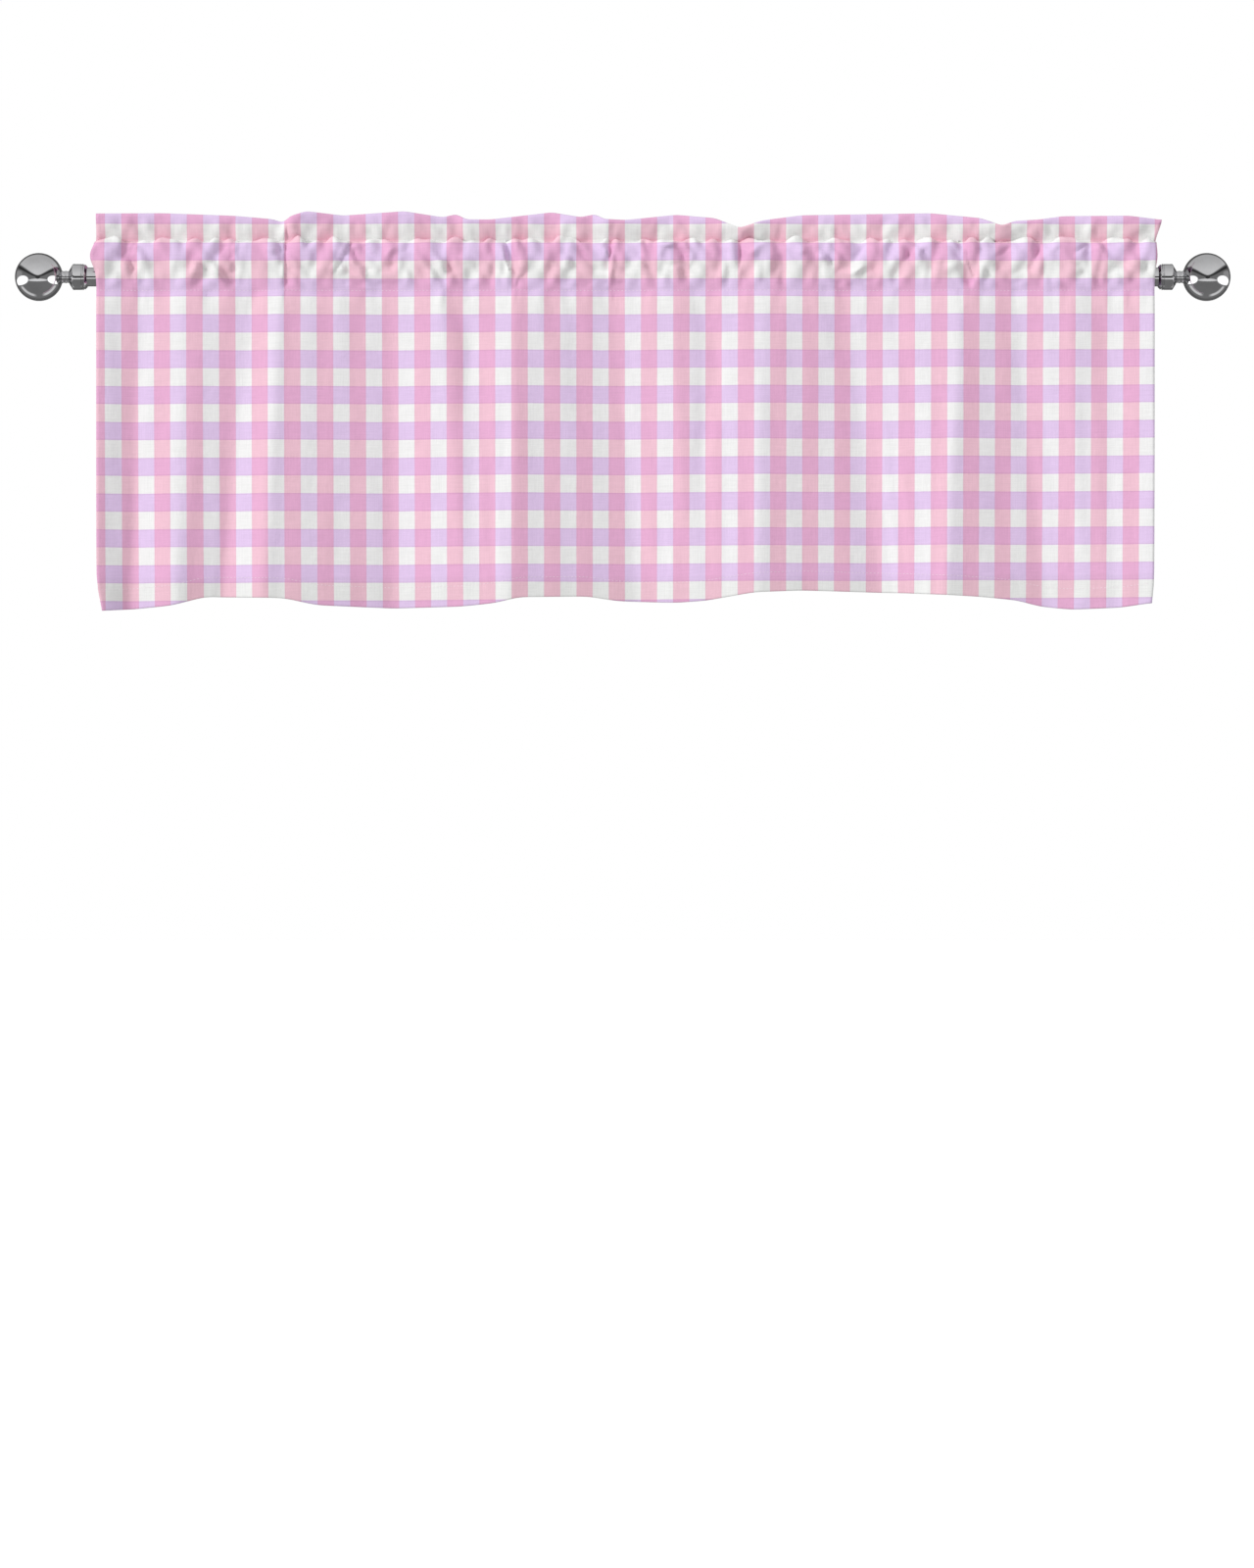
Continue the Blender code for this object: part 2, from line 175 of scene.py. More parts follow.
# Creases across the pocket and heading, as lines of (place, height) from the top down.
# A ridge stands forward along its line. A step lays the cloth on its left over its right.
TUCKS = [
    Tuck(ridge / TENTHS, step / TENTHS, width / TENTHS, in_metres(Point, *points))
    for ridge, step, width, *points in (
        (-11, -29, 43, (480, 410), (440, 340), (410, 200), (440, 20), (480, -210)),
        (8, -26, 34, (1620, 430), (1590, 290), (1630, 140)),
        (8, 42, 43, (2200, 620), (2190, 360), (2190, 70), (2180, -230)),
        (-19, 0, 25, (2080, 420), (2130, 340), (2170, 270)),
        (22, 10, 26, (2230, 500), (2290, 510), (2360, 480)),
        (19, 0, 26, (2240, 420), (2310, 360), (2340, 270)),
        (5, 35, 43, (2970, 430), (2860, 230), (2750, 40)),
        (-46, 0, 59, (3080, 400), (3110, 260), (3140, 120)),
        (5, -22, 34, (3120, 400), (3200, 290), (3280, 210)),
        (27, -16, 51, (3490, 360), (3400, 300), (3340, 200)),
        (-19, 0, 26, (3320, 140), (3420, 120), (3520, 150)),
        (5, -21, 34, (3690, 430), (3700, 300), (3680, 140)),
        (-30, 0, 34, (4560, 420), (4590, 320), (4580, 200)),
        (5, -21, 26, (4640, 420), (4650, 320), (4630, 200)),
        (8, 37, 34, (4740, 400), (4760, 220), (4820, 60), (4890, 0)),
        (-22, 0, 26, (4870, 410), (4840, 270), (4880, 180)),
        (30, 0, 43, (4910, 160), (4940, 100), (4930, 50)),
        (0, 21, 26, (5010, 200), (4990, 50), (4910, -30)),
        (5, 35, 43, (4900, -20), (4890, -120), (4880, -230)),
        (-19, 0, 26, (5230, 480), (5310, 400), (5400, 320)),
        (3, -26, 34, (5590, 420), (5660, 310), (5740, 190)),
        (-22, 0, 26, (5940, 400), (5900, 320), (5880, 240)),
        (-5, -35, 43, (6030, 460), (6000, 300), (5980, 120), (5970, -80)),
        (16, 0, 26, (6140, 450), (6230, 430), (6330, 380)),
        (-22, 0, 34, (6310, 370), (6320, 270), (6300, 170)),
        (-27, 10, 26, (6450, 370), (6500, 270), (6560, 180)),
        (26, 0, 26, (6560, 220), (6600, 320), (6700, 390), (6820, 400), (6910, 310)),
        (-41, 0, 34, (6790, 340), (6830, 260), (6830, 170)),
        (-19, 0, 26, (6600, 150), (6690, 120), (6800, 140)),
        (-19, 0, 34, (7330, 400), (7350, 290), (7330, 180)),
        (-5, -22, 34, (7480, 560), (7510, 360), (7500, 140), (7460, -40)),
        (-24, 0, 43, (7940, 400), (7980, 260), (7970, 120)),
        (-24, 13, 34, (8970, 400), (8880, 280), (8770, 140)),
        (-22, -6, 26, (9150, 380), (9240, 290), (9340, 200)),
        (-22, 6, 26, (9540, 360), (9460, 260), (9380, 160)),
        (-30, 0, 34, (9900, 400), (9980, 310), (10060, 210)),
        (16, 0, 26, (9780, 400), (9860, 440), (9960, 460)),
        (5, 32, 34, (10100, 400), (10130, 180), (10200, 0)),
        (-24, 0, 26, (10660, 350), (10570, 290), (10470, 210)),
        (-19, 0, 26, (10720, 380), (10800, 290), (10890, 200)),
        (-27, 13, 26, (11030, 420), (10960, 280), (10890, 130)),
        (19, 0, 26, (11200, 360), (11130, 310), (11060, 250)),
        (-27, 0, 34, (11570, 390), (11540, 300), (11510, 200)),
        (32, -22, 43, (11620, 400), (11770, 180), (11900, 40), (12030, -70)),
        (-22, 0, 51, (1500, 0), (1620, -80), (1780, -150)),
        (-19, 0, 51, (2960, -20), (3100, -90), (3280, -140)),
        (-19, 0, 51, (5200, -20), (5400, -90), (5600, -140)),
        (-24, 0, 102, (4140, -240), (4370, -780), (4240, -1810)),
        (-18, 0, 90, (6900, -240), (7180, -650), (7220, -1100), (7000, -2270)),
        (-22, 0, 110, (9320, -240), (9360, -760)),
    )
]

# How far the puffs rise over the seam that holds them, and the heading's own fullness
PUFF_LIFT = 0.0046
HEADING_FULLNESS = 0.0022
HEADING_FORWARD = 0.0078
HEADING_TIP_BACK = 0.12
PUFF_UNEVENNESS = 0.0027

# The front of the pocket: how far it stands off, how much of the panel's folds it
# keeps, and the belt at the rod's height where it is looser
POCKET_FACE = 0.0150
POCKET_FOLDS = 0.42
LOOSE_BELT = 0.0080
LOOSE_BELT_REACH = 0.0120
LOOSE_BELT_SHARE = 0.55

# The small gathers that the stitching draws up, and the panel's slow unevenness
GATHER_SEED = 7
GATHERS_PER_SEAM = 84
GATHER_STEEPNESS = 0.60
GATHER_SPREAD = 0.16
GATHER_START = 0.0025
CRINKLE_SEED = 5
CRINKLES = 72
RIPPLE_DEPTH = 0.0006
WAVE_SWELL = 0.21

# The panel hangs from the front of the rod, so it stands forward of the heading
PANEL_FORWARD = 0.0050
SEAM_FORWARD = 0.0085
SEAM_FORWARD_FADE = 0.1300
SEAM_FADE = 0.0500
SEAM_SOFTENING = 0.42
TUCKS_FADE_AT_SEAM = 0.0090
SEAM_DIP = 0.0022
SEAM_DIP_WIDTH = 0.0080
HEM_FORWARD = -0.0110


class ClothSettings(PropertyGroup):
    thickness: FloatProperty(
        name="Thickness",
        description="Thickness of the cloth itself",
        default=0.0005,
        unit="LENGTH",
    )
    columns: IntProperty(
        name="Columns", description="Faces across the cloth", default=434
    )
    ground: FloatVectorProperty(
        name="Ground",
        description="Colour of the cloth between the stripes",
        default=(0.86, 0.86, 0.855),
        subtype="COLOR",
    )
    stripe: FloatVectorProperty(
        name="Stripe",
        description="Colour of the upright stripes",
        default=(0.860, 0.540, 0.640),
        subtype="COLOR",
    )
    band: FloatVectorProperty(
        name="Band",
        description="Colour of the level bands",
        default=(0.750, 0.575, 0.835),
        subtype="COLOR",
    )
    crossing: FloatVectorProperty(
        name="Crossing",
        description="Colour where a stripe crosses a band",
        default=(0.790, 0.420, 0.640),
        subtype="COLOR",
    )


class MetalSettings(PropertyGroup):
    plating: FloatVectorProperty(
        name="Plating",
        description="Colour of the polished metal",
        default=(0.56, 0.56, 0.57),
        subtype="COLOR",
    )
    roughness: FloatProperty(
        name="Roughness",
        description="Roughness of the polished metal",
        default=0.07,
        subtype="FACTOR",
    )
    segments: IntProperty(
        name="Segments", description="Steps round each turned piece", default=96
    )


class StageSettings(PropertyGroup):
    camera_distance: FloatProperty(
        name="Camera distance",
        description="How far the camera stands in front of the rod",
        default=6.5,
        unit="LENGTH",
    )
    camera_height: FloatProperty(
        name="Camera height",
        description="Height of the camera over the rod's axis",
        default=-0.5913,
        unit="LENGTH",
    )
    frame_height: FloatProperty(
        name="Frame height",
        description="Height of what the camera takes in at the rod",
        default=1.8288,
        unit="LENGTH",
    )
    floor_height: FloatProperty(
        name="Floor height",
        description="Height of the floor over the rod's axis",
        default=-1.62,
        unit="LENGTH",
    )
    key_strength: FloatProperty(
        name="Key light",
        description="Strength of the large soft light at the upper left",
        default=1.93,
    )
    back_strength: FloatProperty(
        name="Back light",
        description="Strength of the soft light on the back of the cloth",
        default=0.60,
    )
    room_light: FloatProperty(
        name="Room light", description="Strength of the even light from all round", default=0.675
    )


def eased(share):
    return share * share * (3 - 2 * share)


def mix(start, end, share):
    return start + (end - start) * share


FINE = np.arange(-0.03, CLOTH_WIDTH + 0.03, FINE_STEP)


def line(places, values, softness):
    """A function through the values, straight between them and rounded at each."""
    reach = int(3 * softness / FINE_STEP)
    steps = np.arange(-reach, reach + 1) * FINE_STEP / softness
    kernel = np.exp(-0.5 * steps**2)
    raw = np.pad(np.interp(FINE, places, values), reach, mode="edge")
    smooth = np.convolve(raw, kernel / kernel.sum(), mode="valid")
    return lambda place: np.interp(place, FINE, smooth)


def table_line(rows, where, what, softness):
    places = [getattr(row, where) for row in rows]
    return line(places, [getattr(row, what) for row in rows], softness)


heading_height = table_line(HEADINGS, "place", "height", 0.0030)
heading_lean = table_line(HEADINGS, "place", "lean", 0.0035)
hem_height = table_line(HEMS, "place", "height", 0.0070)
fold_at_top = table_line(FOLDS, "top", "forward_top", 0.0040)
fold_at_hem = table_line(FOLDS, "top", "forward_hem", 0.0045)
fold_lean = line([fold.top for fold in FOLDS], [fold.hem - fold.top for fold in FOLDS], 0.006)


def pinch(place, height):
    """0 in a puff, up to 1 where the pocket is drawn in against the rod."""
    share = (HEADING_SEAM - height) / (HEADING_SEAM - POCKET_SEAM)
    found = np.zeros(np.broadcast(place, height).shape)
    for crease in CREASES:
        away = np.abs(place - mix(crease.top, crease.low, share)) / crease.reach
        found = np.maximum(found, crease.closeness * np.exp(-(away**CREASE_SHARPNESS)))
    return found


def edge_shift(place, height):
    """How far a point moves along X because its side edge isn't straight."""
    shift = np.zeros(np.broadcast(place, height).shape)
    for bulge in EDGE_BULGES:
        strength = np.exp(-(((height - bulge.height) / bulge.reach) ** 2))
        shift -= bulge.left * strength * np.clip(1 - place / EDGE_BLEND, 0, 1)
        from_right = CLOTH_WIDTH - place
        shift += bulge.right * strength * np.clip(1 - from_right / EDGE_BLEND, 0, 1)
    return shift


def middle_line(place, height):
    """The forward place of the cloth's middle from the rod up through the heading."""
    rise = np.clip((height - LEVEL_NEAR_ROD) / (heading_height(place) - LEVEL_NEAR_ROD), 0, 1)
    return heading_lean(place) * rise**2


def panel_forward(place, fall, drop):
    """The forward place of the panel, at a fall of 0 to 1 and a drop below its seam."""
    near_seam = np.exp(-drop / SEAM_FADE)
    folds = mix(fold_at_top(place), fold_at_hem(place), fall) * (1 - SEAM_SOFTENING * near_seam)
    dip = SEAM_DIP * np.exp(-((drop / SEAM_DIP_WIDTH) ** 2))
    forward = PANEL_FORWARD + SEAM_FORWARD * np.exp(-drop / SEAM_FORWARD_FADE)
    return folds + forward - dip + HEM_FORWARD * fall**3


def rounded(points, share):
    """A smooth curve through points of (height, forward), at a share from 0 to 1."""
    spans = len(points) - 1
    index = np.minimum((share * spans).astype(int), spans - 1)
    part = share * spans - index
    values = [[np.broadcast_to(value, share.shape) for value in point] for point in points]
    values = np.array(values)
    before_first, after_last = 2 * values[:1] - values[1:2], 2 * values[-1:] - values[-2:-1]
    values = np.concatenate((before_first, values, after_last))
    columns = np.arange(len(share))
    before, start, end, after = (values[index + step, :, columns].T for step in range(4))
    bend = 2 * before - 5 * start + 4 * end - after
    twist = 3 * start - before - 3 * end + after
    return 0.5 * (2 * start + (end - before) * part + bend * part**2 + twist * part**3)


def crinkle_table():
    """Small seeded tucks between the placed ones, mostly upright in the pocket."""
    draw = np.random.default_rng(CRINKLE_SEED)
    found = []
    for index in range(CRINKLES):
        place = (index + draw.uniform(0.1, 0.9)) / CRINKLES * CLOTH_WIDTH
        height = draw.choice((draw.uniform(0.026, 0.040), draw.uniform(-0.018, 0.024)))
        lean = draw.normal(0.0, 0.65)
        length = draw.uniform(0.010, 0.022)
        bow = draw.normal(0.0, 0.0016)
        run, fall = length * math.sin(lean), -length * math.cos(lean)
        middle = (place + run / 2 + bow, height + fall / 2)
        path = ((place, height), middle, (place + run, height + fall))
        ridge = draw.normal(0.0, 0.0025)
        step = draw.normal(0.0, 0.0015)
        found.append(Tuck(ridge, step, draw.uniform(0.0032, 0.0060), path))
    return found


def tucks(place, height):
    """Creases that run across the folds, each fading out at its two ends."""
    total = np.zeros(place.shape)
    for tuck in TUCKS + SMALL_TUCKS:
        reach = TUCK_REACH * tuck.width
        sides, heights = zip(*tuck.line)
        near = (place > min(sides) - reach) & (place < max(sides) + reach)
        near &= (height > min(heights) - reach) & (height < max(heights) + reach)
        if near.any():
            total[near] += tuck_forward(tuck, place[near], height[near])
    return total


def tuck_forward(tuck, place, height):
    """How far one tuck pushes the cloth forward."""
    nearest = np.full(place.shape, 1.0)
    signed = np.zeros(place.shape)
    along = np.zeros(place.shape)
    spans = list(zip(tuck.line, tuck.line[1:]))
    for index, ((x0, z0), (x1, z1)) in enumerate(spans):
        run, fall = x1 - x0, z1 - z0
        length = math.hypot(run, fall)
        share = ((place - x0) * run + (height - z0) * fall) / length**2
        share = np.clip(share, 0, 1)
        away = np.hypot(place - x0 - share * run, height - z0 - share * fall)
        side = ((height - z0) * run - (place - x0) * fall) / length
        closer = away < nearest
        nearest = np.where(closer, away, nearest)
        signed = np.where(closer, side, signed)
        along = np.where(closer, (index + share) / len(spans), along)
    fade = np.sin(np.pi * np.clip(0.04 + 0.92 * along, 0, 1)) ** 0.7
    ridge = tuck.ridge * np.exp(-((nearest / tuck.width) ** 2))
    lap = -tuck.step * np.tanh(signed / STEP_SOFTNESS) * np.exp(-nearest / tuck.width)
    return fade * (ridge + lap)


SMALL_TUCKS = crinkle_table()


def wave_table(seed, count, shortest, longest, slant):
    """Seeded slow waves: their run across and down, phase, and where each is strong."""
    draw = np.random.default_rng(seed)
    across = 2 * np.pi / draw.uniform(shortest, longest, count)
    down = across * draw.uniform(-slant, slant, count)
    return list(zip(across, down, *draw.uniform(0, 2 * np.pi, (2, count))))


WAVES = {
    "panel": wave_table(11, 16, 0.024, 0.080, 0.30),
    "pocket": wave_table(12, 18, 0.013, 0.046, 1.00),
    "puffs": wave_table(13, 8, 0.020, 0.060, 0.0),
}


def waves(name, place, height):
    """Slow unevenness of the cloth, from about -1 to 1."""
    total = np.zeros(place.shape)
    for across, down, phase, turn in WAVES[name]:
        strength = 0.5 + 0.5 * np.sin(WAVE_SWELL * across * place + turn)
        total += strength * np.sin(across * place + down * height + phase)
    return total / math.sqrt(len(WAVES[name]))


def gather_table(seed, length):
    """Small gathers spread unevenly along a seam: place, depth, width, length and lean."""
    draw = np.random.default_rng(seed)
    steps = draw.uniform(0.6, 1.6, GATHERS_PER_SEAM)
    places = np.cumsum(steps) / steps.sum() * CLOTH_WIDTH
    sides = np.where(draw.random(GATHERS_PER_SEAM) < 0.62, -1.0, 0.8)
    depths = sides * draw.uniform(0.25, 1.0, GATHERS_PER_SEAM) ** 1.3
    widths = draw.uniform(0.0024, 0.0050, GATHERS_PER_SEAM)
    depths *= GATHER_STEEPNESS * widths
    lengths = length * draw.uniform(0.5, 1.5, GATHERS_PER_SEAM)
    leans = draw.uniform(-0.25, 0.25, GATHERS_PER_SEAM)
    return list(zip(places, depths, widths, lengths, leans))


GATHERS = {
    "heading": gather_table(GATHER_SEED, 0.012),
    "pocket top": gather_table(GATHER_SEED + 1, 0.010),
    "pocket floor": gather_table(GATHER_SEED + 2, 0.009),
    "panel": gather_table(GATHER_SEED + 3, 0.022),
}


def gathers(name, place, distance):
    """How far the small gathers of one side of a seam push the cloth forward."""
    total = np.zeros(place.shape)
    for centre, depth, width, length, lean in GATHERS[name]:
        away = (place - centre - lean * distance) / (width + GATHER_SPREAD * distance)
        total += depth * np.exp(-(away**2)) * np.exp(-distance / length)
    return total * (1 - 0.6 * np.exp(-distance / GATHER_START))


def heading_part(place, share, side):
    """The heading from its seam, share 0, to its top edge, share 1."""
    height = mix(HEADING_SEAM, heading_height(place), share)
    layer = HALF_LAYERS * mix(PRESSED, 1.0, share)
    fullness = HEADING_FULLNESS * (1 + waves("pocket", place, height)) * np.sin(np.pi * share)
    leaning = HEADING_FORWARD * (share - HEADING_TIP_BACK * share**9)
    forward = middle_line(place, height) + side * layer + fullness + leaning
    forward = forward + gathers("heading", place, height - HEADING_SEAM)
    return forward + tucks(place, height) * np.minimum(1.0, share * 3), height


def pocket_front(place, share):
    """The pocket's front: over the rod, then round the top of each puff to the seam."""
    seam = panel_forward(place, 0.0, 0.0)
    drawn = [pinch(place, height) for height in (-0.008, 0.008, 0.022, 0.033, HEADING_SEAM)]
    face = POCKET_FACE + POCKET_FOLDS * fold_at_top(place)
    swell = waves("puffs", place, 0.0)
    lift = PUFF_LIFT * np.clip(0.26 + 1.05 * swell, -0.16, 1.5) * (1 - drawn[4])
    full = eased(np.clip(0.60 + 0.80 * swell, 0, 1))
    return rounded(
        (
            (POCKET_SEAM, seam),
            (-0.0040, mix(0.60 * face + 0.40 * seam, 0.0115, drawn[0])),
            (0.0090, mix(face - 0.0008, 0.0118, drawn[1])),
            (0.0220, mix(face + 0.0010, 0.0112, drawn[2])),
            (0.0350 + 0.20 * lift, mix(mix(0.86, 1.08, full) * face, 0.0082, drawn[3])),
            (
                mix(0.0398 + 0.80 * lift, 0.0385, drawn[4]),
                mix(mix(0.58, 0.98, full) * face, 0.0042, drawn[4]),
            ),
            (
                mix(0.0402, 0.0412, full) + lift,
                mix(mix(0.34, 0.60, full) * face, 0.0023, drawn[4]),
            ),
            (HEADING_SEAM, middle_line(place, HEADING_SEAM) + SEAM_LAYER),
        ),
        share,
    )


def pocket_back(place, share):
    """The pocket's back, from its floor seam behind the rod to the heading's back."""
    seam = panel_forward(place, 0.0, 0.0) - BACK_LAYER
    drawn = pinch(place, HEADING_SEAM)
    return rounded(
        (
            (POCKET_SEAM, seam),
            (-0.0140, -0.0030),
            (-0.0040, -0.0135),
            (0.0080, -0.0152),
            (0.0220, mix(-0.0140, -0.0110, drawn)),
            (0.0330, mix(-0.0100, -0.0065, drawn)),
            (0.0385, mix(-0.0055, -0.0035, drawn)),
            (HEADING_SEAM, middle_line(place, HEADING_SEAM) - SEAM_LAYER),
        ),
        share,
    )


def pocket_part(place, share, side):
    """The pocket from its floor seam, share 0, to the heading seam, share 1."""
    shares = np.full(place.shape, float(share))
    height, forward = (pocket_front if side > 0 else pocket_back)(place, shares)
    level = np.minimum(height, HEADING_SEAM)
    loose = gathers("pocket top", place, HEADING_SEAM - level)
    loose = loose + gathers("pocket floor", place, np.maximum(level - POCKET_SEAM, 0))
    fuller = 1 + LOOSE_BELT_SHARE * np.exp(-(((height - LOOSE_BELT) / LOOSE_BELT_REACH) ** 2))
    loose = loose + PUFF_UNEVENNESS * fuller * waves("pocket", place, height)
    if side > 0:
        loose = loose + tucks(place, height)
    loose = loose * np.clip(np.sin(np.pi * share) * 2.2, 0, 1)
    clear = ROD_CLEAR if side > 0 else ROD_CLEAR_BEHIND
    rod = np.sqrt(np.maximum(clear**2 - height**2, 0))
    kept = np.maximum(side * (forward + loose), rod)
    return np.where(np.abs(height) < clear, side * kept, forward + loose), height


def panel_part(place, fall, back):
    """The hanging panel at a fall of 0 at the pocket to 1 at the hem."""
    drift = fold_lean(place) * fall
    height = mix(POCKET_SEAM, hem_height(place + fold_lean(place)), fall)
    forward = panel_forward(place, fall, POCKET_SEAM - height)
    forward = forward + gathers("panel", place, POCKET_SEAM - height)
    clear_of_seam = np.clip(0.2 + (POCKET_SEAM - height) / TUCKS_FADE_AT_SEAM, 0, 1)
    forward = forward + tucks(place + drift, height) * clear_of_seam
    forward = forward + RIPPLE_DEPTH * waves("panel", place, height) * np.clip(fall * 6, 0, 1)
    return forward - back, height, drift


def cloth_rows():
    """Each row of the sheet from the hem's turning, up the front and down the back."""
    rows = [("turning", share) for share in (1.0, 0.7, 0.35, 0.1)]
    rows += [("edge", share) for share in (-0.5, 0.0, 0.5)]
    falls = list(np.linspace(0.996, 0.26, 15)) + list(0.26 * np.linspace(0.93, 0.0, 11) ** 1.15)
    rows += [("panel", share) for share in falls]
    rows += [("pocket front", share) for share in np.linspace(0, 1, 45)[1:]]
    rows += [("heading front", share) for share in np.linspace(0, 1, 12)[1:]]
    rows += [("fold", share) for share in (-0.5, 0.0, 0.5)]
    rows += [("heading back", share) for share in np.linspace(1, 0, 12)]
    rows += [("pocket back", share) for share in np.linspace(1, 0, 11)[1:]]
    rows += [("flap", share) for share in (0.5, 1.0)]
    return rows


def cloth_row(place, part, share):
    """Forward, height and sideways drift of one row of the sheet."""
    level = np.zeros(place.shape)
    if part == "panel":
        return panel_part(place, share, 0.0)
    if part in ("turning", "edge"):
        hem = hem_height(place + fold_lean(place))
        if part == "turning":
            fall = 1 - share * HEM_TURNING / (POCKET_SEAM - hem)
            return panel_part(place, fall, TURNING_DEPTH)
        forward, height, drift = panel_part(place, 1.0, TURNING_DEPTH * (0.5 - share))
        return forward, height - HEM_ROUNDING * math.cos(math.pi * share), drift
    if part.startswith("heading"):
        return *heading_part(place, share, 1 if part.endswith("front") else -1), level
    if part == "fold":
        forward, height = heading_part(place, 1.0 + level, 0)
        around = math.pi * (share + 0.5)
        height = height + HALF_LAYERS * math.sin(around)
        return forward + HALF_LAYERS * math.cos(around), height, level
    if part.startswith("pocket"):
        return *pocket_part(place, share, 1 if part.endswith("front") else -1), level
    height = mix(POCKET_SEAM, FLAP_END, share) + level
    forward = panel_forward(place, 0.0, 0.0) - BACK_LAYER - FLAP_SLOPE * share
    return forward + gathers("panel", place, POCKET_SEAM - height), height, level


def check_uv(sideways, height):
    """Repeats across and down, counted in the check, for a point of the hung cloth."""
    across = sideways - CLOTH_LEFT
    root = np.sqrt(REPEAT_ACROSS**2 - 4 * REPEAT_NARROWING * across)
    repeats = (REPEAT_ACROSS - root) / (2 * REPEAT_NARROWING)
    pitch = mix(REPEAT_DOWN_LEFT, REPEAT_DOWN_RIGHT, np.clip(across / CLOTH_WIDTH, 0, 1))
    over_seam = np.maximum(height - HEADING_SEAM, 0)
    level = np.minimum(height, HEADING_SEAM) + HEADING_STRETCH * over_seam
    return np.stack((repeats, (FIRST_BAND - level) / pitch), axis=-1)


def column_places(columns):
    """Places across the cloth, closer together where it is drawn in."""
    places = np.linspace(0.0, CLOTH_WIDTH, COLUMN_SAMPLES)
    drawn = np.maximum(pinch(places, HEADING_SEAM), pinch(places, POCKET_SEAM))
    closeness = 1 + CLOSER_AT_CREASES * drawn
    passed = np.concatenate(([0.0], np.cumsum((closeness[1:] + closeness[:-1]) / 2)))
    return np.interp(np.linspace(0.0, passed[-1], columns), passed, places)


def row_points(place, part, share, lift=0.0):
    """Points along one row of the sheet, or a lift in front of it."""
    forward, height, drift = cloth_row(place, part, share)
    sideways = CLOTH_LEFT + place + drift + edge_shift(place, height)
    return np.stack((sideways, -(forward + lift), height), axis=-1)


def cloth_points(columns):
    """The sheet's points and its check's coordinates, row by row."""
    place = column_places(columns)
    points = np.array([row_points(place, part, share) for part, share in cloth_rows()])
    return points, check_uv(points[..., 0], points[..., 2])


def mesh_from(bm, name):
    """A mesh of a finished bmesh, which is then let go."""
    mesh = bpy.data.meshes.new(name)
    bm.to_mesh(mesh)
    bm.free()
    return mesh


def new_piece(name, mesh, finish):
    """An object for a finished mesh, riding with the rod and its cloth."""
    piece = bpy.data.objects.new(name, mesh)
    bpy.context.scene.collection.objects.link(piece)
    piece.data.materials.append(finish)
    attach(piece, "root")
    return piece


def sheet_mesh(name, points, uvs):
    """A grid whose vertices are moved to the points, with the check's UV map."""
    rows, columns = points.shape[:2]
    bm = bmesh.new()
    bmesh.ops.create_grid(bm, x_segments=columns - 1, y_segments=rows - 1, size=0.5)
    mesh = mesh_from(bm, name)
    flat = np.empty(len(mesh.vertices) * 3)
    mesh.vertices.foreach_get("co", flat)
    flat = flat.reshape(-1, 3) + 0.5
    column = np.rint(flat[:, 0] * (columns - 1)).astype(int)
    row = np.rint(flat[:, 1] * (rows - 1)).astype(int)
    mesh.vertices.foreach_set("co", points[row, column].ravel())
    corners = np.empty(len(mesh.loops), dtype=int)
    mesh.loops.foreach_get("vertex_index", corners)
    layer = mesh.uv_layers.new(name="check")
    layer.data.foreach_set("uv", uvs[row, column][corners].ravel())
    mesh.shade_smooth()
    mesh.update()
    return mesh


class Nodes:
    """A material's node tree, with short ways to add and join its nodes."""

    def __init__(self, name):
        self.material = bpy.data.materials.get(name) or bpy.data.materials.new(name)
        self.material.use_nodes = True
        self.tree = self.material.node_tree
        self.tree.nodes.clear()
        self.shader = self.tree.nodes.new("ShaderNodeBsdfPrincipled")
        output = self.tree.nodes.new("ShaderNodeOutputMaterial")
        self.tree.links.new(self.shader.outputs["BSDF"], output.inputs["Surface"])

    def feed(self, socket, value):
        if hasattr(value, "is_output"):
            self.tree.links.new(value, socket)
        else:
            socket.default_value = value

    def add(self, kind, inputs=(), output=0, **settings):
        node = self.tree.nodes.new(kind)
        for key, value in settings.items():
            setattr(node, key, value)
        for key, value in dict(inputs).items():
            self.feed(node.inputs[key], value)
        return node.outputs[output]

    def maths(self, operation, *values):
        return self.add("ShaderNodeMath", dict(enumerate(values)), operation=operation)

    def ramp(self, value, low, high, to_low=0.0, to_high=1.0):
        inputs = {"Value": value, "From Min": low, "From Max": high}
        inputs.update({"To Min": to_low, "To Max": to_high})
        return self.add("ShaderNodeMapRange", inputs, interpolation_type="SMOOTHSTEP")

    def blend(self, factor, first, second, mode="MIX"):
        """Mix two colours: the node's inputs 0, 6 and 7 and its output 2."""
        node = self.tree.nodes.new("ShaderNodeMix")
        node.data_type = "RGBA"
        node.blend_type = mode
        self.feed(node.inputs[0], factor)
        self.feed(node.inputs[6], first)
        self.feed(node.inputs[7], second)
        return node.outputs[2]

    def noise(self, vector, scale, detail=3.0, roughness=0.5):
        inputs = {"Vector": vector, "Scale": scale, "Detail": detail, "Roughness": roughness}
        return self.add("ShaderNodeTexNoise", inputs)

    def bump(self, height, strength, distance, normal=None):
        inputs = {"Height": height, "Strength": strength, "Distance": distance}
        if normal is not None:
            inputs["Normal"] = normal
        return self.add("ShaderNodeBump", inputs)

    def finish(self, **sockets):
        for name, value in sockets.items():
            self.feed(self.shader.inputs[name.replace("_", " ")], value)
        return self.material


def rgba(colour):
    return (*colour, 1.0)


